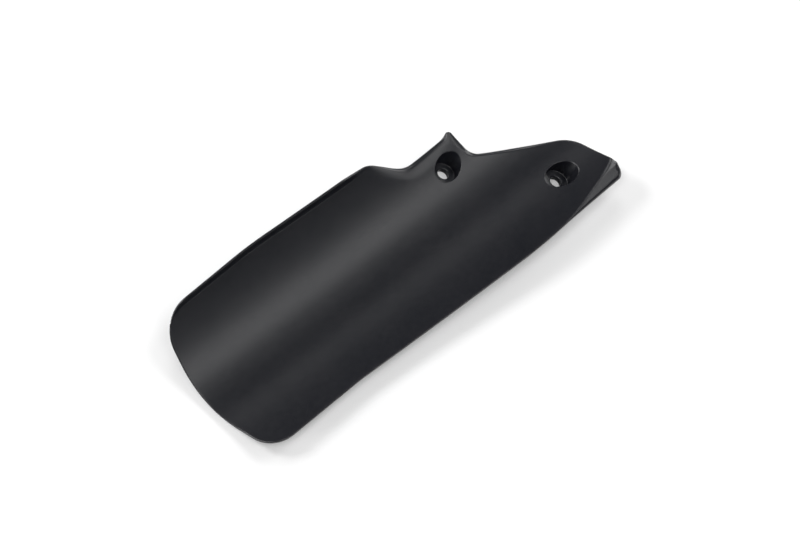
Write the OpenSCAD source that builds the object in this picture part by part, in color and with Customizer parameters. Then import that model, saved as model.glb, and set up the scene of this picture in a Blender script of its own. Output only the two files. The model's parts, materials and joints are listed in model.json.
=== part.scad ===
// Shock mud flap for an off-road motorcycle.
// One moulded sheet, hollowed along its length like a gutter, with two deep screw bosses at its
// mounting end. The sheet is drawn with the bottom of the gutter along X, from the free end at
// X = 0 to the mounting end, and is then turned by under three degrees each way, so that it lies
// hollow side up on its belly and on one boss. The middle of its box stands over the origin.

/* [Sheet] */
// Length from the free end to the heel of the mounting end
flap_l = 271; // [225:1:330]
// Distance from the gutter line to the edge on the ear side
ear_side = 56.1; // [46:0.1:68]
// Distance from the gutter line to the edge on the hem side
hem_side = 46.7; // [39:0.1:58]
// Wall thickness
wall = 2.5; // [2:0.1:3.2]

/* [Gutter] */
// Radius of the gutter's bottom at the mounting end
bottom_r_mount = 58; // [46:1:75]
// Radius of the gutter's bottom at the free end
bottom_r_free = 66; // [50:1:90]
// Angle that the gutter's flanks tend to
flank_angle = 42; // [30:1:48]
// Radius of the gentle bow along the length
bow_r = 1300; // [900:10:3000]
// Distance of the bow's lowest station from the heel
bow_low = 139; // [90:1:180]

/* [Free end] */
// Distance of the nose from the gutter line, towards the ear side
nose_y = 4.3; // [-5:0.1:15]
// Radius of the nose
nose_r = 100; // [60:5:150]
// How far the ear-side corner stands back from the nose
back_ear = 9.9; // [4:0.1:16]
// Radius of the ear-side corner
corner_r_ear = 22.6; // [12:0.1:28]
// How far the hem-side corner stands back from the nose
back_hem = 14.6; // [6:0.1:20]
// Radius of the hem-side corner
corner_r_hem = 18.8; // [10:0.1:22]

/* [Long edges] */
// Station of the widest place on the ear side
belly_x = 74; // [50:1:90]
// How much narrower the ear side is at the free end
belly_in = 2.7; // [0:0.1:6]
// Station of the narrow place on the hem side
waist_x = 77; // [50:1:90]
// How much narrower the hem side is at that place
waist_in = 5; // [0:0.1:8]
// How much wider the hem side is again at the free end's corner
corner_flare = 2; // [0:0.1:4]
// Radius that blends the narrow place
waist_r = 130; // [80:5:250]
// Distance of the hem side's widest place from the heel
hip_back = 67.5; // [60:0.1:95]
// Radius that blends the widest places of both sides
hip_r = 300; // [150:10:400]

/* [Mounting end] */
// Land between the ear boss and the notch behind it
notch_land = 11; // [7:0.1:16]
// Length of the step from the notch up to the shoulder
step_l = 17.3; // [14:0.1:26]
// How much narrower the ear side is at the shoulder
shoulder_in = 3.4; // [0:0.1:8]
// Radius of the shoulder
shoulder_r = 12.8; // [6:0.1:16]
// Radius of the notch beside the shoulder
notch_r = 16; // [6:0.1:18]
// Land between the ear boss and the edge beside it
ear_land = 4.9; // [3.5:0.1:8]
// Length of the ear's tip, from where that edge turns up
ear_tip_l = 6; // [5:0.1:12]
// Radius where the edge turns up
ear_base_r = 12; // [6:1:24]
// How far the ear's tip stands above that edge
ear_rise = 2.1; // [0.5:0.1:4]
// Land between the ear boss and the ear's tip, along the flap
ear_tip_land = 3.5; // [1.5:0.1:5]
// Radius of the ear's tip
ear_tip_r = 2.5; // [1.3:0.1:3]
// Land between the ear boss and the root beside the ear
root_land = 6.1; // [4:0.1:8]
// How far the root lies below the ear screw
root_drop = 1.8; // [0:0.1:4]
// Radius of the root
root_r = 9.7; // [4:0.1:12]
// Land between the heel boss and the crown, along the flap
crown_land = 8.8; // [7:0.1:12]
// Land between the heel boss and the crown, across the flap
crown_rise = 3.8; // [3:0.1:7]
// Radius of the crown
crown_r = 22; // [12:1:24]
// Land between the heel boss and the heel, along the flap
heel_land = 18.3; // [15:0.1:24]
// Land between the heel boss and the heel, across the flap
heel_drop = 5.7; // [0:0.1:7]
// Radius of the heel and of the corner beside it
heel_r = 5; // [2:0.1:6]
// How far that corner stands back from the heel
tip_back = 2.3; // [0:0.1:5]
// How much narrower the hem side is at that corner
tip_in = 3.7; // [0:0.1:5]

/* [Edges] */
// Reach of the rounding along every edge
edge_round = 0.7; // [0.4:0.05:0.9]
// Width of the flange at the heel, where the hem side is folded down
flange_w = 10.5; // [8:0.1:14]
// Distance from the heel at which the flange begins
flange_l = 52; // [36:1:60]
// How strongly the flange's crease bends away from the edge, with 1 for a straight crease
flange_curve = 1.4; // [1:0.1:2]
// Slope that the flange adds to the sheet
flange_slope = 0.76; // [0.5:0.02:1]
// Half width of the bend at the flange's crease
flange_bend = 0.8; // [0.5:0.1:2]
// Width of the lip that is turned up along the ear side
lip_w = 2; // [1.5:0.1:3]
// Slope that the lip adds to the sheet
lip_slope = 1.8; // [0.8:0.1:2.2]
// Length over which the lip fades at either end
lip_fade = 30; // [15:1:50]
// Width of the rim that is rolled down round the ear
rim_w = 1.6; // [1:0.1:2.5]
// Slope that the rolled rim takes off the sheet
rim_slope = 0.6; // [0.2:0.05:0.8]
// Width of the soft roll beside the notch
roll_w = 6; // [4:0.1:9]
// Slope that the soft roll takes off the sheet
roll_slope = 0.25; // [0.1:0.05:0.4]

/* [Screw bosses] */
// Distance between the two screws along the flap
screw_dx = 47.7; // [42:0.1:58]
// Distance between the two screws across the flap
screw_dy = 44.5; // [38:0.1:54]
// Distance of the ear screw from the gutter line
screw_y = 25.1; // [20:0.1:30]
// Diameter of the screw holes
screw_d = 7; // [5:0.1:8.4]
// Diameter of the recess for the ear screw's head and washer
ear_d = 14.5; // [12.5:0.1:18]
// Depth of that recess on the screw's axis
ear_depth = 6.8; // [6:0.1:10]
// Diameter of the recess for the heel screw's head and washer
heel_d = 15.5; // [12.5:0.1:19]
// Depth of that recess on the screw's axis
heel_depth = 7.7; // [6:0.1:11]
// Wall round a recess
boss_wall = 2.2; // [1.6:0.1:3]
// Thickness of the seat under a screw's head
seat_t = 3; // [2:0.1:4]
// Lead-in at the top of a screw hole
lead_in = 0.5; // [0.2:0.1:0.8]
// Lean of the screws towards the mounting end
screw_lean = 30; // [20:1:38]

/* [Rest] */
// Roll of the flap as it lies on its belly and its ear boss
lay_roll = 2.5; // [-2:0.1:6]
// Pitch of the flap as it lies
lay_pitch = -2; // [-5:0.1:1]

/* [Hidden] */
$fn = 96;
plastic = [0.09, 0.1, 0.105];

// Grid of the sheet: cells along and across, and how much finer they are at the edges
cells_l = 60;
cells_w = 32;
edge_crowding = 0.75;
// Segments of each of an edge's two roundings, and of a corner's arc
round_steps = 2;
edge_steps = 2 * round_steps + 1;
arc_steps = 12;
// Largest share of a side of the outline that one corner's arc takes
arc_share = 0.48;

// Bosses: outer radii, and how far their blanks and cutters run past the faces they meet
ear_boss_r = ear_d / 2 + boss_wall;
heel_boss_r = heel_d / 2 + boss_wall;
blank_over = 0.8 * heel_boss_r;
cutter_over = 1;

// Places of the two screws and of the outline's corners near them, in plan
heel_screw = [flap_l - heel_land - heel_boss_r, screw_y - screw_dy];
ear_screw = heel_screw + [-screw_dx, screw_dy];
notch_x = ear_screw[0] - ear_boss_r - notch_land;
shoulder_x = notch_x - step_l;
ear_edge = ear_screw[1] + ear_boss_r + ear_land;
ear_tip_x = ear_screw[0] + ear_boss_r + ear_tip_land;
root_y = ear_screw[1] - root_drop;
crown_y = heel_screw[1] + heel_boss_r + crown_rise;

// Outline: station, distance from the gutter line and radius of each corner
corners = [
    [back_hem, waist_in - corner_flare - hem_side, corner_r_hem],
    [0, nose_y, nose_r],
    [back_ear, ear_side - belly_in, corner_r_ear],
    [belly_x, ear_side, hip_r],
    [shoulder_x, ear_side - shoulder_in, shoulder_r],
    [notch_x, ear_edge, notch_r],
    [ear_tip_x - ear_tip_l, ear_edge, ear_base_r],
    [ear_tip_x, ear_edge + ear_rise, ear_tip_r],
    [ear_screw[0] + ear_boss_r + root_land, root_y, root_r],
    [heel_screw[0] + heel_boss_r + crown_land, crown_y, crown_r],
    [flap_l, heel_screw[1] - heel_boss_r - heel_drop, heel_r],
    [flap_l - tip_back, tip_in - hem_side, heel_r],
    [flap_l - hip_back, -hem_side, hip_r],
    [waist_x, waist_in - hem_side, waist_r]
];
count = len(corners);
free_hem = 0;
free_ear = 2;
ear_tip = 7;
heel_tip = 11;

// Arc at corner k, from its first tangent point to its second
function arc(k) =
    let (p = plan(k), a = plan(k - 1) - p, b = plan(k + 1) - p,
         ua = a / norm(a), ub = b / norm(b), half = acos(ua * ub) / 2,
         reach = min(corners[k % count][2] / tan(half), arc_share * norm(a), arc_share * norm(b)),
         r = reach * tan(half), mid = (ua + ub) / norm(ua + ub), c = p + mid * r / sin(half),
         start = p + ua * reach - c, end = p + ub * reach - c,
         from = atan2(start[1], start[0]), turn = wrap(atan2(end[1], end[0]) - from))
    [for (i = [0:arc_steps]) c + r * [cos(from + turn * i / arc_steps), sin(from + turn * i / arc_steps)]];
function plan(k) = let (c = corners[(k + count) % count]) [c[0], c[1]];
function wrap(angle) = angle > 180 ? angle - 360 : angle < -180 ? angle + 360 : angle;

// One side of the sheet, from the middle of one corner's arc to the middle of another's
function side(first, last) = [
    each [for (i = [arc_steps / 2:arc_steps]) arc(first)[i]],
    each [for (k = [first + 1:1:last - 1]) each arc(k)],
    each [for (i = [0:arc_steps / 2]) arc(last)[i]]
];

// Running length of a line of points, and the point at a share of it
function lengths(line, i = 0, sum = 0) =
    i == len(line) - 1 ? [sum] : concat([sum], lengths(line, i + 1, sum + norm(line[i + 1] - line[i])));
function along(line, run, share) =
    let (s = share * run[len(run) - 1])
    [lookup(s, [for (i = [0:len(run) - 1]) [run[i], line[i][0]]]),
     lookup(s, [for (i = [0:len(run) - 1]) [run[i], line[i][1]]])];
function crowd(t) = t - edge_crowding * sin(360 * t) / (2 * PI);
function sample(line, cells) =
    let (run = lengths(line)) [for (i = [0:cells]) along(line, run, crowd(i / cells))];
function reversed(line) = [for (i = [len(line) - 1:-1:0]) line[i]];

hem_line = sample(reversed(side(heel_tip, count)), cells_l);
ear_line = sample(side(free_ear, ear_tip), cells_l);
free_line = sample(side(free_hem, free_ear), cells_w);
mount_line = sample(reversed(side(ear_tip, heel_tip)), cells_w);

// The whole edge as one ring of points, and its outward direction in plan
function ring_of(hem, mount, ear, free) = [
    each [for (i = [0:cells_l - 1]) hem[i]],
    each [for (j = [0:cells_w - 1]) mount[j]],
    each [for (i = [cells_l:-1:1]) ear[i]],
    each [for (j = [cells_w:-1:1]) free[j]]
];
ring = ring_of(hem_line, mount_line, ear_line, free_line);
ring_n = len(ring);
function outward(k) =
    let (t = ring[(k + 1) % ring_n] - ring[(k + ring_n - 1) % ring_n]) [t[1], -t[0]] / norm(t);
inset = [for (k = [0:ring_n - 1]) ring[k] - edge_round * outward(k)];
function hem_at(i) = inset[i];
function mount_at(j) = inset[cells_l + j];
function ear_at(i) = inset[2 * cells_l + cells_w - i];
function free_at(j) = inset[(2 * cells_l + 2 * cells_w - j) % ring_n];

// Plan place of a grid point, blended from the four sides
function grid_plan(i, j) =
    let (u = crowd(i / cells_l), v = crowd(j / cells_w))
    (1 - v) * hem_at(i) + v * ear_at(i) + (1 - u) * free_at(j) + u * mount_at(j)
    - (1 - u) * (1 - v) * hem_at(0) - u * (1 - v) * hem_at(cells_l)
    - (1 - u) * v * ear_at(0) - u * v * ear_at(cells_l);

// Height of the plain gutter: a hyperbola across and a gentle bow along
function bottom_r(x) = bottom_r_free + (bottom_r_mount - bottom_r_free) * max(0, min(1, x / flap_l));
function gutter(x, y) =
    let (rise = tan(flank_angle), round = bottom_r(x) * rise, low = flap_l - bow_low)
    rise * (sqrt(y * y + round * round) - round) + (x - low) * (x - low) / (2 * bow_r);

// Smooth bend: nothing before -w, a straight ramp after w
function bend(c, w) = c < -w ? 0 : c > w ? c : (c + w) * (c + w) / (4 * w);
function ease(t) = let (s = max(0, min(1, t))) s * s * (3 - 2 * s);

// What the flange, the lip, the rolled rim and the soft roll add to the gutter at a grid point
function edge_height(i, j, p) =
    let (to_hem = norm(p - hem_at(i)), to_ear = norm(p - ear_at(i)), to_mount = norm(p - mount_at(j)),
         open = max(0, (hem_at(i)[0] - (flap_l - flange_l)) / (flange_l - tip_back)),
         crease = (flange_w + flange_bend) * pow(open, flange_curve) - flange_bend,
         lip = ease((p[0] - back_ear) / lip_fade) * ease((shoulder_x - p[0]) / lip_fade),
         to_rim = to_ear * to_mount / (to_ear + to_mount + edge_round),
         rim = ease((p[0] - shoulder_x) / step_l) * ease((p[1] - crown_y) / (root_y - crown_y)),
         roll = sin(180 * max(0, min(1, (p[0] - shoulder_x) / (ear_tip_x - shoulder_x)))))
    lip_slope * lip * bend(lip_w - to_ear, lip_w / 4)
    - flange_slope * bend(crease - to_hem, flange_bend)
    - rim_slope * rim * bend(rim_w - to_rim, rim_w / 2)
    - roll_slope * roll * bend(roll_w - to_ear, roll_w / 2);

// Grid points of the top face, and of the underside straight below them, as the mould draws it
top = [for (i = [0:cells_l]) [for (j = [0:cells_w])
    let (p = grid_plan(i, j)) [p[0], p[1], gutter(p[0], p[1]) + edge_height(i, j, p)]]];
function steepness(x, y) =
    let (d = 0.1) norm([gutter(x + d, y) - gutter(x - d, y), gutter(x, y + d) - gutter(x, y - d)]) / (2 * d);
function thickness(p) = wall * sqrt(1 + pow(steepness(p[0], p[1]), 2));
under = [for (row = top) [for (p = row) p - [0, 0, thickness(p)]]];

// Rings along the edge: the top face's last points, those one cell inside, and the underside's
function edge_of(grid, depth) = ring_of(
    [for (i = [0:cells_l]) grid[i][depth]], grid[cells_l - depth],
    [for (i = [0:cells_l]) grid[i][cells_w - depth]], grid[depth]);
top_ring = edge_of(top, 0);
inner_ring = edge_of(top, 1);
under_ring = edge_of(under, 0);

// Point k of the edge: a rounding that goes on from the top face's slope, a wall, a lower rounding
function edge_point(k, step) =
    let (o = outward(k), out = [o[0], o[1], 0], t = top_ring[k], u = under_ring[k], d = t - inner_ring[k],
         slope = atan2(d[2], norm([d[0], d[1]])), r = edge_round / (1 + sin(slope)),
         a = (90 + slope) * (1 - step / round_steps), b = 90 * (edge_steps - step) / round_steps)
    step <= round_steps
        ? t + out * (edge_round - r + r * cos(a)) + [0, 0, r * (sin(a) - cos(slope))]
        : u + out * edge_round * sin(b) + [0, 0, edge_round * (1 - cos(b))];

sheet_n = (cells_l + 1) * (cells_w + 1);
function top_id(i, j) = i * (cells_w + 1) + j;
function under_id(i, j) = sheet_n + top_id(i, j);
function ring_ij(k) =
    k < cells_l ? [k, 0] : k < cells_l + cells_w ? [cells_l, k - cells_l]
    : k < 2 * cells_l + cells_w ? [2 * cells_l + cells_w - k, cells_w] : [0, ring_n - k];
function edge_id(k, step) =
    let (q = k % ring_n, ij = ring_ij(q))
    step == 0 ? top_id(ij[0], ij[1]) : step == edge_steps ? under_id(ij[0], ij[1])
    : 2 * sheet_n + (step - 1) * ring_n + q;
shell_points = [
    each [for (row = top) each row],
    each [for (row = under) each row],
    for (step = [1:edge_steps - 1]) for (k = [0:ring_n - 1]) edge_point(k, step)
];
function two(a, b, c, d) = [[a, b, c], [a, c, d]];
shell_faces = [
    for (i = [0:cells_l - 1]) for (j = [0:cells_w - 1])
        each two(top_id(i, j), top_id(i, j + 1), top_id(i + 1, j + 1), top_id(i + 1, j)),
    for (i = [0:cells_l - 1]) for (j = [0:cells_w - 1])
        each two(under_id(i, j), under_id(i + 1, j), under_id(i + 1, j + 1), under_id(i, j + 1)),
    for (step = [0:edge_steps - 1]) for (k = [0:ring_n - 1])
        each two(edge_id(k, step), edge_id(k + 1, step), edge_id(k + 1, step + 1), edge_id(k, step + 1))
];

// Where a screw's axis meets the sheet
function seat(screw) = [screw[0], screw[1], gutter(screw[0], screw[1])];

module along_screw(screw) {
    translate(seat(screw)) rotate([0, screw_lean, 0]) children();
}

// Grid cells within a reach of a screw: first and last index along, then across
function near_cells(screw, reach) =
    let (hits = [for (i = [0:cells_l]) for (j = [0:cells_w])
                 let (p = top[i][j]) if (norm([p[0], p[1]] - screw) < reach) [i, j]])
    [min([for (h = hits) h[0]]), max([for (h = hits) h[0]]),
     min([for (h = hits) h[1]]), max([for (h = hits) h[1]])];

// All that lies above the middle of the wall round a screw
module above_sheet(screw, reach) {
    area = near_cells(screw, reach);
    rows = area[1] - area[0];
    cols = area[3] - area[2];
    middle = [for (i = [area[0]:area[1]]) for (j = [area[2]:area[3]]) (top[i][j] + under[i][j]) / 2];
    n = len(middle);
    function id(i, j) = i * (cols + 1) + j;
    rim = [
        each [for (i = [0:rows - 1]) id(i, 0)],
        each [for (j = [0:cols - 1]) id(rows, j)],
        each [for (i = [rows:-1:1]) id(i, cols)],
        each [for (j = [cols:-1:1]) id(0, j)]
    ];
    polyhedron(
        points = concat(middle, [for (p = middle) p + [0, 0, 2 * reach]]),
        faces = [
            for (i = [0:rows - 1]) for (j = [0:cols - 1])
                each two(id(i, j), id(i + 1, j), id(i + 1, j + 1), id(i, j + 1)),
            for (i = [0:rows - 1]) for (j = [0:cols - 1])
                each two(n + id(i, j), n + id(i, j + 1), n + id(i + 1, j + 1), n + id(i + 1, j)),
            for (k = [0:len(rim) - 1])
                let (a = rim[k], b = rim[(k + 1) % len(rim)]) each two(a, n + a, n + b, b)
        ],
        convexity = 4
    );
}

module boss(screw, depth, radius) {
    difference() {
        along_screw(screw) translate([0, 0, -depth - seat_t])
            cylinder(r = radius, h = depth + seat_t + blank_over);
        above_sheet(screw, 2 * radius);
    }
}

module bore(screw, depth, d) {
    along_screw(screw) {
        translate([0, 0, -depth]) cylinder(d = d, h = depth + d);
        translate([0, 0, -depth - seat_t - cutter_over]) cylinder(d = screw_d, h = seat_t + 2 * cutter_over);
        translate([0, 0, -depth - lead_in])
            cylinder(d1 = screw_d, d2 = screw_d + 4 * lead_in, h = 2 * lead_in);
    }
}

// The flap as it lies: turned, then set down with its box centred on the origin
function turned(p) =
    let (y = p[1] * cos(lay_roll) - p[2] * sin(lay_roll), z = p[1] * sin(lay_roll) + p[2] * cos(lay_roll))
    [p[0] * cos(lay_pitch) + z * sin(lay_pitch), y, z * cos(lay_pitch) - p[0] * sin(lay_pitch)];
function boss_low(screw, depth, radius) =
    let (axis = [sin(screw_lean), 0, cos(screw_lean)], lean = turned(axis)[2])
    turned(seat(screw) - (depth + seat_t) * axis)[2] - radius * sqrt(1 - lean * lean);
laid = [for (p = shell_points) turned(p)];
xs = [for (p = laid) p[0]];
ys = [for (p = laid) p[1]];
zs = concat([for (p = laid) p[2]], boss_low(ear_screw, ear_depth, ear_boss_r),
            boss_low(heel_screw, heel_depth, heel_boss_r));
origin = [(min(xs) + max(xs)) / 2, (min(ys) + max(ys)) / 2, min(zs)];

module mud_flap() {
    color(plastic) translate(-origin) rotate([lay_roll, lay_pitch, 0]) difference() {
        union() {
            polyhedron(points = shell_points, faces = shell_faces, convexity = 6);
            boss(ear_screw, ear_depth, ear_boss_r);
            boss(heel_screw, heel_depth, heel_boss_r);
        }
        bore(ear_screw, ear_depth, ear_d);
        bore(heel_screw, heel_depth, heel_d);
    }
}

mud_flap();
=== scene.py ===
import json
import math

import bmesh
import bpy
import numpy as np
from mathutils import Matrix, Vector
from mathutils.kdtree import KDTree

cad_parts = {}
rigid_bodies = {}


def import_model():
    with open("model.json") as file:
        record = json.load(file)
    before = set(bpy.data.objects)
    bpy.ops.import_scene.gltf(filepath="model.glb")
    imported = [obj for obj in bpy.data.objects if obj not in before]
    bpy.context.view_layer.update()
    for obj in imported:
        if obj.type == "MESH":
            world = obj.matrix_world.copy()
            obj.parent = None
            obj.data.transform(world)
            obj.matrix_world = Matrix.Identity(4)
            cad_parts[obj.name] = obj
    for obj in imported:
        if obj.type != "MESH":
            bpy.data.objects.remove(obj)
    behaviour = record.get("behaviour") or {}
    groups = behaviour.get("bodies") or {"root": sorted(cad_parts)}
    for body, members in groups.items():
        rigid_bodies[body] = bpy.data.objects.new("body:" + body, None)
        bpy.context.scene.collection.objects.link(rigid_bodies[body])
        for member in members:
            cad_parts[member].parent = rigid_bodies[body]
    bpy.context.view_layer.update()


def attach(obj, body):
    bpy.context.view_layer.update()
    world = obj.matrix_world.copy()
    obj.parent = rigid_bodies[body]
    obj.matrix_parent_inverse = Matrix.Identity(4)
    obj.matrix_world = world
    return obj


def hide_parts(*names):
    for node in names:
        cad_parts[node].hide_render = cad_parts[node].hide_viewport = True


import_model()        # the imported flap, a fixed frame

scene = bpy.context.scene
for spare in [o for o in scene.objects if o.name in ("Cube", "Light", "Camera")]:
    bpy.data.objects.remove(spare)


# ---- flap: sizes in millimetres and degrees, drawn with the gutter's bottom along X, before it is laid down
flap = {
    "length": 271.0, "earSide": 56.1, "hemSide": 46.7, "wall": 2.5,
    "bottomMount": 58.0, "bottomFree": 66.0, "flankAngle": 42.0, "bowRadius": 1300.0, "bowLow": 139.0,
    "noseSide": 4.3, "noseRadius": 100.0, "earCornerBack": 9.9, "earCornerRadius": 22.6,
    "hemCornerBack": 14.6, "hemCornerRadius": 18.8,
    "bellyAlong": 74.0, "bellyIn": 2.7, "waistAlong": 77.0, "waistIn": 5.0, "cornerFlare": 2.0,
    "waistRadius": 130.0,
    "hipBack": 67.5, "hipRadius": 300.0,
    "notchLand": 11.0, "stepLength": 17.3, "shoulderIn": 3.4, "shoulderRadius": 12.8, "notchRadius": 16.0,
    "earLand": 4.9, "earTipLength": 6.0, "earBaseRadius": 12.0, "earRise": 2.1,
    "earTipLand": 3.5, "earTipRadius": 2.5,
    "rootLand": 6.1, "rootDrop": 1.8, "rootRadius": 9.7, "crownLand": 8.8, "crownRise": 3.8, "crownRadius": 22.0,
    "heelLand": 18.3, "heelDrop": 5.7, "heelRadius": 5.0, "kinkRadius": 2.0, "kinkIn": 0.4,
    "tipBack": 2.3, "tipIn": 3.7,
    "edgeRound": 0.7, "edgeTrim": 0.13, "flangeWidth": 10.5, "flangeLength": 52.0, "flangeCurve": 1.4,
    "flangeSlope": 0.76, "flangeBend": 0.8, "lipWidth": 2.0, "lipLand": 0.6, "lipSlope": 2.7, "lipLevel": 0.5,
    "lipFade": 20.0,
    "rimWidth": 1.6, "rimSlope": 0.6, "rollWidth": 6.0, "rollSlope": 0.25,
    "screwsAlong": 47.7, "screwsAcross": 44.5, "earScrewSide": 25.1, "holeWide": 7.0,
    "earRecess": 14.5, "earDepth": 6.8, "heelRecess": 15.5, "heelDepth": 7.7,
    "bossWall": 2.2, "seatThick": 3.0, "leadIn": 0.5, "screwLean": 30.0,
    "mouthRound": 0.35, "floorRound": 0.5, "padRound": 0.5, "sliver": 0.002, "steepest": -0.9,
    "layRoll": 2.5, "layPitch": -2.0, "layShift": (-136.379, -3.8876, -1.2556),
    "cellsAlong": 230, "cellsAcross": 116, "edgeCrowding": 0.75, "roundSteps": 4, "arcSteps": 40, "arcShare": 0.48,
    "turnSteps": 128, "slideSteps": 12, "wearWidth": 3.0,
}
mm = 0.001
earBoss = flap["earRecess"] / 2 + flap["bossWall"]
heelBoss = flap["heelRecess"] / 2 + flap["bossWall"]
heelScrew = Vector((flap["length"] - flap["heelLand"] - heelBoss, flap["earScrewSide"] - flap["screwsAcross"]))
earScrew = heelScrew + Vector((-flap["screwsAlong"], flap["screwsAcross"]))
notchAlong = earScrew.x - earBoss - flap["notchLand"]
shoulderAlong = notchAlong - flap["stepLength"]
earTipAlong = earScrew.x + earBoss + flap["earTipLand"]
rootAcross = earScrew.y - flap["rootDrop"]
crownAcross = heelScrew.y + heelBoss + flap["crownRise"]
screwAxis = Vector((math.sin(math.radians(flap["screwLean"])), 0, math.cos(math.radians(flap["screwLean"]))))
screws = ((earScrew, flap["earDepth"], flap["earRecess"]), (heelScrew, flap["heelDepth"], flap["heelRecess"]))


def outlineCorners(f):
    earEdge = earScrew.y + earBoss + f["earLand"]
    return [
        (f["hemCornerBack"], f["waistIn"] - f["cornerFlare"] - f["hemSide"], f["hemCornerRadius"]),
        (0.0, f["noseSide"], f["noseRadius"]),
        (f["earCornerBack"], f["earSide"] - f["bellyIn"], f["earCornerRadius"]),
        (f["bellyAlong"], f["earSide"], f["hipRadius"]),
        (shoulderAlong, f["earSide"] - f["shoulderIn"], f["shoulderRadius"]),
        (notchAlong, earEdge, f["notchRadius"]),
        (earTipAlong - f["earTipLength"], earEdge, f["earBaseRadius"]),
        (earTipAlong, earEdge + f["earRise"], f["earTipRadius"]),
        (earScrew.x + earBoss + f["rootLand"], rootAcross, f["rootRadius"]),
        (heelScrew.x + heelBoss + f["crownLand"], crownAcross, f["crownRadius"]),
        (f["length"] - f["kinkIn"], heelScrew.y - heelBoss - f["heelDrop"], f["kinkRadius"]),
        (f["length"] - f["tipBack"], f["tipIn"] - f["hemSide"], f["heelRadius"]),
        (f["length"] - f["hipBack"], -f["hemSide"], f["hipRadius"]),
        (f["waistAlong"], f["waistIn"] - f["hemSide"], f["waistRadius"]),
    ]


def cornerArc(corners, k):
    n, steps = len(corners), flap["arcSteps"]
    here, before, after = (np.array(corners[j % n][:2]) for j in (k, k - 1, k + 1))
    a, b = before - here, after - here
    la, lb = np.linalg.norm(a), np.linalg.norm(b)
    a, b = a / la, b / lb
    half = math.acos(float(a @ b)) / 2
    reach = min(corners[k % n][2] / math.tan(half), flap["arcShare"] * la, flap["arcShare"] * lb)
    radius = reach * math.tan(half)
    middle = here + (a + b) / np.linalg.norm(a + b) * radius / math.sin(half)
    start, end = here + a * reach - middle, here + b * reach - middle
    first = math.atan2(start[1], start[0])
    turn = (math.atan2(end[1], end[0]) - first + math.pi) % (2 * math.pi) - math.pi
    angles = first + turn * np.linspace(0, 1, steps + 1)
    return middle + radius * np.stack([np.cos(angles), np.sin(angles)], 1)


def outlineSide(corners, first, last):
    half = flap["arcSteps"] // 2
    parts = [cornerArc(corners, first)[half:]]
    parts += [cornerArc(corners, k) for k in range(first + 1, last)]
    parts += [cornerArc(corners, last)[:half + 1]]
    return np.concatenate(parts)


def crowd(t):
    return t - flap["edgeCrowding"] * np.sin(2 * math.pi * t) / (2 * math.pi)


def spread(line, count):      # the line again as count + 1 points, closer together at its ends
    run = np.r_[0, np.cumsum(np.linalg.norm(np.diff(line, axis=0), axis=1))]
    at = crowd(np.linspace(0, 1, count + 1)) * run[-1]
    return np.stack([np.interp(at, run, line[:, 0]), np.interp(at, run, line[:, 1])], 1)


def insetSides(fine=720):
    corners = outlineCorners(flap)
    hem = spread(outlineSide(corners, 11, 14)[::-1], fine)
    ear = spread(outlineSide(corners, 2, 7), fine)
    free = spread(outlineSide(corners, 0, 2), fine)
    mount = spread(outlineSide(corners, 7, 11)[::-1], fine)
    ring = np.concatenate([hem[:-1], mount[:-1], ear[:0:-1], free[:0:-1]])
    tangent = np.roll(ring, -1, 0) - np.roll(ring, 1, 0)
    outward = np.stack([tangent[:, 1], -tangent[:, 0]], 1) / np.linalg.norm(tangent, axis=1)[:, None]
    inner = ring - (flap["edgeRound"] + flap["edgeTrim"]) * outward
    sides = {
        "hem": inner[:fine + 1], "mount": inner[fine:2 * fine + 1],
        "ear": inner[2 * fine:3 * fine + 1][::-1],
        "free": np.concatenate([inner[3 * fine:], inner[:1]])[::-1],
    }
    return sides, ring


def pick(side, t):
    at = np.linspace(0, 1, len(side))
    return np.stack([np.interp(t, at, side[:, 0]), np.interp(t, at, side[:, 1])], -1)


def gutterHeight(x, y):
    f = flap
    rise = math.tan(math.radians(f["flankAngle"]))
    bottom = rise * (f["bottomFree"] + (f["bottomMount"] - f["bottomFree"]) * np.clip(x / f["length"], 0, 1))
    low = f["length"] - f["bowLow"]
    return rise * (np.sqrt(y * y + bottom * bottom) - bottom) + (x - low) ** 2 / (2 * f["bowRadius"])


def bend(c, w):               # nothing before -w, a straight ramp after w, a smooth bend between
    return np.where(c < -w, 0, np.where(c > w, c, (c + w) ** 2 / (4 * w)))


def ease(t):
    s = np.clip(t, 0, 1)
    return s * s * (3 - 2 * s)


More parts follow.
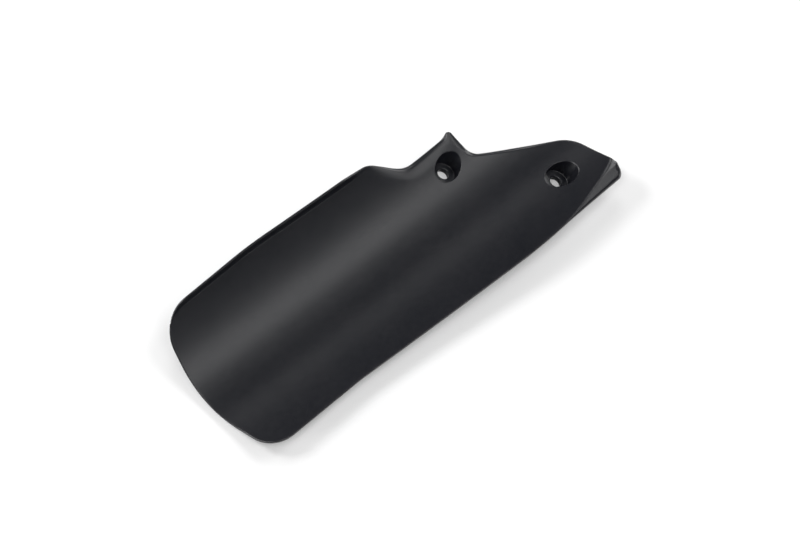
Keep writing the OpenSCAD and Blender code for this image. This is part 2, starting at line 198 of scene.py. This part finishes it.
def sheetPoints(u, v, sides):
    f = flap
    hem, ear = pick(sides["hem"], u), pick(sides["ear"], u)
    free, mount = pick(sides["free"], v), pick(sides["mount"], v)
    cu, cv = crowd(u)[:, None], crowd(v)[:, None]
    corner = {name: (sides[name][0], sides[name][-1]) for name in ("hem", "ear")}
    p = ((1 - cv) * hem + cv * ear + (1 - cu) * free + cu * mount
         - (1 - cu) * (1 - cv) * corner["hem"][0] - cu * (1 - cv) * corner["hem"][1]
         - (1 - cu) * cv * corner["ear"][0] - cu * cv * corner["ear"][1])
    toHem, toEar, toMount = (np.linalg.norm(p - side, axis=1) for side in (hem, ear, mount))
    x, y = p[:, 0], p[:, 1]
    opening = np.maximum(0, (hem[:, 0] - (f["length"] - f["flangeLength"])) / (f["flangeLength"] - f["tipBack"]))
    crease = (f["flangeWidth"] + f["flangeBend"]) * opening ** f["flangeCurve"] - f["flangeBend"]
    lip = ease((x - f["earCornerBack"]) / f["lipFade"]) * ease((shoulderAlong - x) / f["lipFade"])
    toRim = toEar * toMount / (toEar + toMount + f["edgeRound"])
    rim = ease((x - shoulderAlong) / f["stepLength"]) * ease((y - crownAcross) / (rootAcross - crownAcross))
    roll = np.sin(math.pi * np.clip((x - shoulderAlong) / (earTipAlong - shoulderAlong), 0, 1))
    z = gutterHeight(x, y)
    z = z + f["lipSlope"] * lip * bend(f["lipWidth"] - toEar, f["lipWidth"] / 14)
    z = z - (f["lipSlope"] + f["lipLevel"]) * lip * bend(f["lipLand"] - toEar, f["lipLand"] / 3)
    z = z - f["flangeSlope"] * bend(crease - toHem, f["flangeBend"])
    z = z - f["rimSlope"] * rim * bend(f["rimWidth"] - toRim, f["rimWidth"] / 2)
    z = z - f["rollSlope"] * roll * bend(f["rollWidth"] - toEar, f["rollWidth"] / 2)
    points = np.stack([x, y, z], 1)
    for screw, depth, wide in screws:   # the sheet rounds over into each recess, along the screw's axis
        off = points - np.array(seatOf(screw))
        away = np.linalg.norm(off - np.outer(off @ np.array(screwAxis), screwAxis), axis=1) - wide / 2
        r = f["mouthRound"]
        drop = np.where(away > r, 0, r - np.sqrt(np.clip(r * r - (r - np.clip(away, 0, r)) ** 2, 0, None)))
        drop = drop + 1.5 * np.clip(-away, 0, 0.5)
        points = points - np.outer(drop, screwAxis)
    return points


def seatOf(screw):
    return Vector((screw.x, screw.y, float(gutterHeight(screw.x, screw.y))))


def mapSheet(bm, sides):
    bm.verts.ensure_lookup_table()
    uv = np.array([v.co[:2] for v in bm.verts])
    points = sheetPoints(uv[:, 0], uv[:, 1], sides)
    return {v: Vector(p) for v, p in zip(bm.verts, points)}


def refineMouths(bm, sides):      # smaller faces where the sheet rounds over into a recess
    for margin in (1.6, 1.0, 0.55):
        places = mapSheet(bm, sides)
        near = []
        for face in bm.faces:
            middle = sum((places[v] for v in face.verts), Vector()) / len(face.verts)
            for screw, depth, wide in screws:
                off = middle - seatOf(screw)
                away = (off - off.dot(screwAxis) * screwAxis).length - wide / 2
                if abs(away - flap["mouthRound"] / 2) < flap["mouthRound"] / 2 + margin:
                    near.append(face)
        edges = list({e for face in near for e in face.edges})
        bmesh.ops.subdivide_edges(bm, edges=edges, cuts=1, use_grid_fill=True)


def pointTree(points):
    tree = KDTree(len(points))
    for k, p in enumerate(points):
        tree.insert((p[0], p[1], 0), k)
    tree.balance()
    return tree


def makeSheet():
    sides, ring = insetSides()
    bm = bmesh.new()
    bmesh.ops.create_grid(bm, x_segments=flap["cellsAlong"], y_segments=flap["cellsAcross"], size=0.5)
    bmesh.ops.translate(bm, verts=bm.verts, vec=(0.5, 0.5, 0))
    refineMouths(bm, sides)
    for v, place in mapSheet(bm, sides).items():
        v.co = place
    bm.normal_update()

    # underside: the same faces, straight below
    topEdge = [e for e in bm.edges if e.is_boundary]
    made = bmesh.ops.duplicate(bm, geom=bm.verts[:] + bm.edges[:] + bm.faces[:])
    underOf = {}
    topVerts = {v for e in topEdge for v in e.verts}
    for old, new in made["vert_map"].items():
        if old in topVerts:
            underOf[old] = new
    under = [f for f in made["geom"] if isinstance(f, bmesh.types.BMFace)]
    for v in {v for f in under for v in f.verts}:
        v.co.z -= thickness(v.co.x, v.co.y)
    bmesh.ops.reverse_faces(bm, faces=under)

    # edge: the top's border drawn over to the underside's, round at its two corners
    borders = {}
    outline = pointTree(ring)
    for v in topVerts:
        a, b = [e.other_vert(v) for e in v.link_edges if e.is_boundary]
        along = a.co - b.co
        out = Vector((along.y, -along.x, 0)).normalized()
        near = outline.find((v.co.x, v.co.y, 0))[0]
        if out.x * (near.x - v.co.x) + out.y * (near.y - v.co.y) < 0:
            out = -out
        slope = max(math.atan2(-v.normal.dot(out), v.normal.z), flap["steepest"])
        borders[v] = (v.co.copy(), underOf[v].co.copy(), out, slope)
    for v in [v for v in topVerts if len(v.link_faces) == 1]:     # the grid's corners turn as their neighbours do
        beside = [borders[e.other_vert(v)] for e in v.link_edges if e.is_boundary]
        out, slope = sum((b[2] for b in beside), Vector()).normalized(), sum(b[3] for b in beside) / len(beside)
        borders[v] = (*borders[v][:2], out, slope)
    source = {v: v for v in topVerts}
    edges = topEdge
    steps = flap["roundSteps"]
    for step in range(1, 2 * steps + 2):
        made = bmesh.ops.extrude_edge_only(bm, edges=edges)["geom"]
        fresh = {v for v in made if isinstance(v, bmesh.types.BMVert)}
        following = {}
        for v in fresh:
            old = next(e.other_vert(v) for e in v.link_edges if e.other_vert(v) in source)
            following[v] = source[old]
            v.co = edgePoint(*borders[source[old]], step, steps)
        edges = [e for e in made if isinstance(e, bmesh.types.BMEdge) and fresh.issuperset(e.verts)]
        source = following
    bmesh.ops.remove_doubles(bm, verts=bm.verts, dist=1e-4)
    bmesh.ops.recalc_face_normals(bm, faces=bm.faces)
    return bm, ring


def thickness(x, y):
    d = 0.1
    gx = (gutterHeight(x + d, y) - gutterHeight(x - d, y)) / (2 * d)
    gy = (gutterHeight(x, y + d) - gutterHeight(x, y - d)) / (2 * d)
    return flap["wall"] * math.sqrt(1 + gx * gx + gy * gy)


def edgePoint(top, under, out, slope, step, steps):
    full = flap["edgeRound"]
    if step <= steps:             # goes on from the top's slope and turns down to the wall
        r = full / (1 + math.sin(slope))
        a = (math.pi / 2 + slope) * (1 - step / steps)
        return top + out * (full - r + r * math.cos(a)) + Vector((0, 0, r * (math.sin(a) - math.cos(slope))))
    a = math.pi / 2 * (2 * steps + 1 - step) / steps
    return under + out * full * math.sin(a) + Vector((0, 0, full * (1 - math.cos(a))))


def spunSolid(profile, screw):    # a profile of (radius, height) points turned round a screw's axis
    bm = bmesh.new()
    verts = [bm.verts.new((r, 0, h)) for r, h in profile]
    edges = [bm.edges.new(pair) for pair in zip(verts, verts[1:])]
    bmesh.ops.spin(bm, geom=verts + edges, cent=(0, 0, 0), axis=(0, 0, 1), angle=2 * math.pi,
                   steps=flap["turnSteps"], use_merge=True, use_duplicate=False)
    bmesh.ops.remove_doubles(bm, verts=bm.verts, dist=1e-5)
    bmesh.ops.recalc_face_normals(bm, faces=bm.faces)
    place = Matrix.Translation(seatOf(screw)) @ Matrix.Rotation(math.radians(flap["screwLean"]), 4, "Y")
    bmesh.ops.transform(bm, matrix=place, verts=bm.verts)
    return bm


def roundCorner(centre, radius, first, last, steps=5):
    return [(centre[0] + radius * math.cos(math.radians(first + (last - first) * k / steps)),
             centre[1] + radius * math.sin(math.radians(first + (last - first) * k / steps)))
            for k in range(steps + 1)]


def makeBoss(screw, depth, wide):
    f = flap
    low, r, bossRadius = -depth - f["seatThick"], f["padRound"], wide / 2 + f["bossWall"]
    profile = [(0, low), *roundCorner((bossRadius - r, low + r), r, -90, 0), (bossRadius, 0), (0, 0)]
    bm = spunSolid(profile, screw)
    seat = seatOf(screw)
    for v in bm.verts:
        if (v.co - seat).dot(screwAxis) > -1e-4:      # its top ends inside the sheet's wall
            for _ in range(flap["slideSteps"]):
                gap = float(gutterHeight(v.co.x, v.co.y)) - f["wall"] / 2 - v.co.z
                v.co = v.co + screwAxis * gap * 0.8
    return bm


def makeCutter(screw, depth, wide):
    f = flap
    hole, recess, r, lead = f["holeWide"] / 2, wide / 2, f["floorRound"], f["leadIn"]
    profile = [(0, -depth - f["seatThick"] - 1), (hole, -depth - f["seatThick"] - 1),
               *roundCorner((hole + lead, -depth - lead), lead, 180, 90, 4),
               *roundCorner((recess - r, -depth + r), r, -90, 0), (recess, wide), (0, wide)]
    return spunSolid(profile, screw)


def asObject(name, bm):
    mesh = bpy.data.meshes.new(name)
    bm.to_mesh(mesh)
    bm.free()
    thing = bpy.data.objects.new(name, mesh)
    scene.collection.objects.link(thing)
    return thing


def makeFlap():
    bm, ring = makeSheet()
    shell = asObject("flapShell", bm)
    tools = []
    for k, screw in enumerate(screws):
        tools.append((asObject(f"bossTool{k}", makeBoss(*screw)), "UNION"))
    for k, screw in enumerate(screws):
        tools.append((asObject(f"recessTool{k}", makeCutter(*screw)), "DIFFERENCE"))
    for tool, how in tools:
        cut = shell.modifiers.new(tool.name, "BOOLEAN")
        cut.object, cut.operation, cut.solver = tool, how, "MANIFOLD"
    done = bpy.data.meshes.new_from_object(shell.evaluated_get(bpy.context.evaluated_depsgraph_get()))
    shell.modifiers.clear()
    bm = bmesh.new()              # the cuts leave slivers, which go with their doubled points
    bm.from_mesh(done)
    bmesh.ops.remove_doubles(bm, verts=bm.verts, dist=flap["sliver"])
    bmesh.ops.dissolve_degenerate(bm, edges=bm.edges, dist=flap["sliver"])
    bmesh.ops.triangulate(bm, faces=[f for f in bm.faces if len(f.verts) > 4])
    bm.to_mesh(done)
    bm.free()
    shell.data = done
    for tool, how in tools:
        bpy.data.objects.remove(tool)
    return shell, ring


shell, ring = makeFlap()
print("flap built:", len(shell.data.vertices), "points,", len(shell.data.polygons), "faces")


def markRim(mesh, ring):      # how near each point is to the outline, for the wear along the edges
    tree = pointTree(ring)
    near = [tree.find((v.co.x, v.co.y, 0))[2] for v in mesh.vertices]
    rim = mesh.attributes.new("rim", "FLOAT", "POINT")
    rim.data.foreach_set("value", np.clip(1 - np.array(near) / flap["wearWidth"], 0, 1).astype(np.float32))


def layTurn():
    pitch, roll = math.radians(flap["layPitch"]), math.radians(flap["layRoll"])
    return Matrix.Rotation(pitch, 3, "Y") @ Matrix.Rotation(roll, 3, "X")


def layDown(mesh):
    mesh.transform(Matrix.Scale(mm, 4) @ Matrix.Translation(flap["layShift"]) @ layTurn().to_4x4())


markRim(shell.data, ring)
layDown(shell.data)
shell.data.shade_smooth()
shell.data.set_sharp_from_angle(angle=math.radians(38))
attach(shell, "root")
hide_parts("mud_flap")


# ---- moulded plastic
plastic = {
    "colour": (0.0054, 0.0060, 0.0088), "paleColour": (0.0125, 0.0122, 0.0150), "roughness": 0.30,
    "grainSize": 2600.0, "grainDepth": 0.00002, "mottle": 350.0, "wear": 0.35,
    "roughnessChange": 0.02, "patchSize": 55.0, "patchAmount": 0.35,
}


def mouldedPlastic():
    mat = bpy.data.materials.new("mouldedPlastic")
    mat.use_nodes = True
    nodes, links = mat.node_tree.nodes, mat.node_tree.links
    shader = nodes["Principled BSDF"]
    place = nodes.new("ShaderNodeTexCoord")

    def noise(scale, detail=2.0, rough=0.5):
        n = nodes.new("ShaderNodeTexNoise")
        n.inputs["Scale"].default_value = scale
        n.inputs["Detail"].default_value = detail
        n.inputs["Roughness"].default_value = rough
        links.new(place.outputs["Object"], n.inputs["Vector"])
        return n.outputs["Fac"]

    def ramp(value, low, high, out0, out1):
        n = nodes.new("ShaderNodeMapRange")
        for name, x in (("From Min", low), ("From Max", high), ("To Min", out0), ("To Max", out1)):
            n.inputs[name].default_value = x
        links.new(value, n.inputs["Value"])
        return n.outputs["Result"]

    rim = nodes.new("ShaderNodeAttribute")
    rim.attribute_name = "rim"
    blend = nodes.new("ShaderNodeMix")
    blend.data_type = "RGBA"
    blend.inputs["A"].default_value = (*plastic["colour"], 1)
    blend.inputs["B"].default_value = (*plastic["paleColour"], 1)
    patch = nodes.new("ShaderNodeMath")
    patch.operation = "MULTIPLY_ADD"
    links.new(rim.outputs["Fac"], patch.inputs[0])
    patch.inputs[1].default_value = plastic["wear"]
    links.new(ramp(noise(plastic["patchSize"], 4.0), 0.35, 0.7, 0.0, plastic["patchAmount"]), patch.inputs[2])
    links.new(patch.outputs["Value"], blend.inputs["Factor"])
    links.new(blend.outputs["Result"], shader.inputs["Base Color"])
    sheen, change = plastic["roughness"], plastic["roughnessChange"]
    links.new(ramp(noise(plastic["mottle"], 4.0, 0.6), 0.3, 0.7, sheen - change, sheen + change),
              shader.inputs["Roughness"])
    bump = nodes.new("ShaderNodeBump")
    bump.inputs["Strength"].default_value = 0.5
    bump.inputs["Distance"].default_value = plastic["grainDepth"]
    links.new(noise(plastic["grainSize"], 3.0, 0.6), bump.inputs["Height"])
    links.new(bump.outputs["Normal"], shader.inputs["Normal"])
    return mat


shell.data.materials.clear()
shell.data.materials.append(mouldedPlastic())
print("plastic ready")


# ---- floor, lamps and camera
studio = {"floorSize": 6.0, "floorColour": (0.92, 0.92, 0.92), "floorWhite": 0.2,
          "whiteFrom": 0.2, "whiteFull": 0.55}
camera = {"target": (137.5, -2.1, 0.0), "elevation": 75.0, "azimuth": 39.0, "distance": 1250.0, "lens": 98.69}


# each lamp: elevation, angle round from the picture's right, distance, width, power
lamps = {
    "topLamp": (76, 240, 1.6, 0.5, 5.5),
    "overheadLamp": (46, 160, 1.6, 0.5, 8.0),
    "leftLamp": (20, 200, 1.6, 0.6, 6.0),
    "sideLamp": (18, 148, 1.6, 0.5, 8.5),
    "backLamp": (48, 90, 1.6, 0.6, 4.4),
    "rightLamp": (20, 45, 1.6, 0.6, 6.5),
    "keyLamp": (50, 34, 1.6, 0.7, 6.8),
    "lowRightLamp": (48, 350, 1.6, 0.6, 2.5),
    "lowerLamp": (67, 317, 1.6, 0.6, 2.7),
    "frontLamp": (18, 300, 1.6, 0.5, 5.0),
}


def makeFloor():
    bm = bmesh.new()
    bmesh.ops.create_grid(bm, x_segments=1, y_segments=1, size=studio["floorSize"])
    floor = asObject("floor", bm)
    mat = bpy.data.materials.new("paleFloor")
    mat.use_nodes = True
    shader = mat.node_tree.nodes["Principled BSDF"]
    shader.inputs["Base Color"].default_value = (*studio["floorColour"], 1)
    shader.inputs["Roughness"].default_value = 1.0
    shader.inputs["Specular IOR Level"].default_value = 0.0
    nodes, links = mat.node_tree.nodes, mat.node_tree.links      # to the camera it fades to plain white
    seen, share = nodes.new("ShaderNodeLightPath"), nodes.new("ShaderNodeMath")
    share.operation = "MULTIPLY"
    spot, reach = nodes.new("ShaderNodeTexCoord"), nodes.new("ShaderNodeVectorMath")
    reach.operation = "LENGTH"
    links.new(spot.outputs["Object"], reach.inputs[0])
    fade = nodes.new("ShaderNodeMapRange")
    for name, x in (("From Min", studio["whiteFrom"]), ("From Max", studio["whiteFull"]),
                    ("To Min", studio["floorWhite"]), ("To Max", 1.0)):
        fade.inputs[name].default_value = x
    links.new(reach.outputs["Value"], fade.inputs["Value"])
    links.new(fade.outputs["Result"], share.inputs[1])
    links.new(seen.outputs["Is Camera Ray"], share.inputs[0])
    white, mix = nodes.new("ShaderNodeEmission"), nodes.new("ShaderNodeMixShader")
    white.inputs["Strength"].default_value = 1.0
    links.new(share.outputs["Value"], mix.inputs["Fac"])
    links.new(shader.outputs["BSDF"], mix.inputs[1])
    links.new(white.outputs["Emission"], mix.inputs[2])
    links.new(mix.outputs["Shader"], nodes["Material Output"].inputs["Surface"])
    floor.data.materials.append(mat)


def makeWorld():
    world = bpy.data.worlds.new("paleRoom")
    scene.world = world
    world.use_nodes = True
    nodes, links = world.node_tree.nodes, world.node_tree.links
    seen = nodes.new("ShaderNodeLightPath")       # white where the camera sees it, and no light of its own
    nodes["Background"].inputs["Color"].default_value = (1, 1, 1, 1)
    links.new(seen.outputs["Is Camera Ray"], nodes["Background"].inputs["Strength"])


def addLamp(name, elevation, around, distance, size, power):
    e, a = math.radians(elevation), math.radians(around - camera["azimuth"])
    towards = Vector((math.cos(a) * math.cos(e), math.sin(a) * math.cos(e), math.sin(e)))
    data = bpy.data.lights.new(name, "AREA")
    data.shape, data.size, data.energy = "DISK", size, power
    lamp = bpy.data.objects.new(name, data)
    scene.collection.objects.link(lamp)
    lamp.location = towards * distance
    lamp.rotation_euler = (-towards).to_track_quat("-Z", "Y").to_euler()


def makeCamera():
    e, a = math.radians(camera["elevation"]), math.radians(camera["azimuth"])
    right = Vector((math.cos(a), -math.sin(a), 0))
    ahead = Vector((math.sin(a), math.cos(a), 0))
    look = ahead * math.cos(e) - Vector((0, 0, math.sin(e)))
    up = ahead * math.sin(e) + Vector((0, 0, math.cos(e)))
    turn = layTurn()
    place = turn @ (Vector(camera["target"]) - look * camera["distance"]) + Vector(flap["layShift"])
    data = bpy.data.cameras.new("camera")
    data.lens, data.sensor_width = camera["lens"], 36
    eye = bpy.data.objects.new("camera", data)
    scene.collection.objects.link(eye)
    axes = Matrix([turn @ right, turn @ up, turn @ -look]).transposed()
    eye.matrix_world = Matrix.Translation(place * mm) @ axes.to_4x4()
    scene.camera = eye


makeFloor()
makeWorld()
for name, values in lamps.items():
    addLamp(name, *values)
makeCamera()
scene.view_settings.view_transform = "Standard"
print("studio ready")
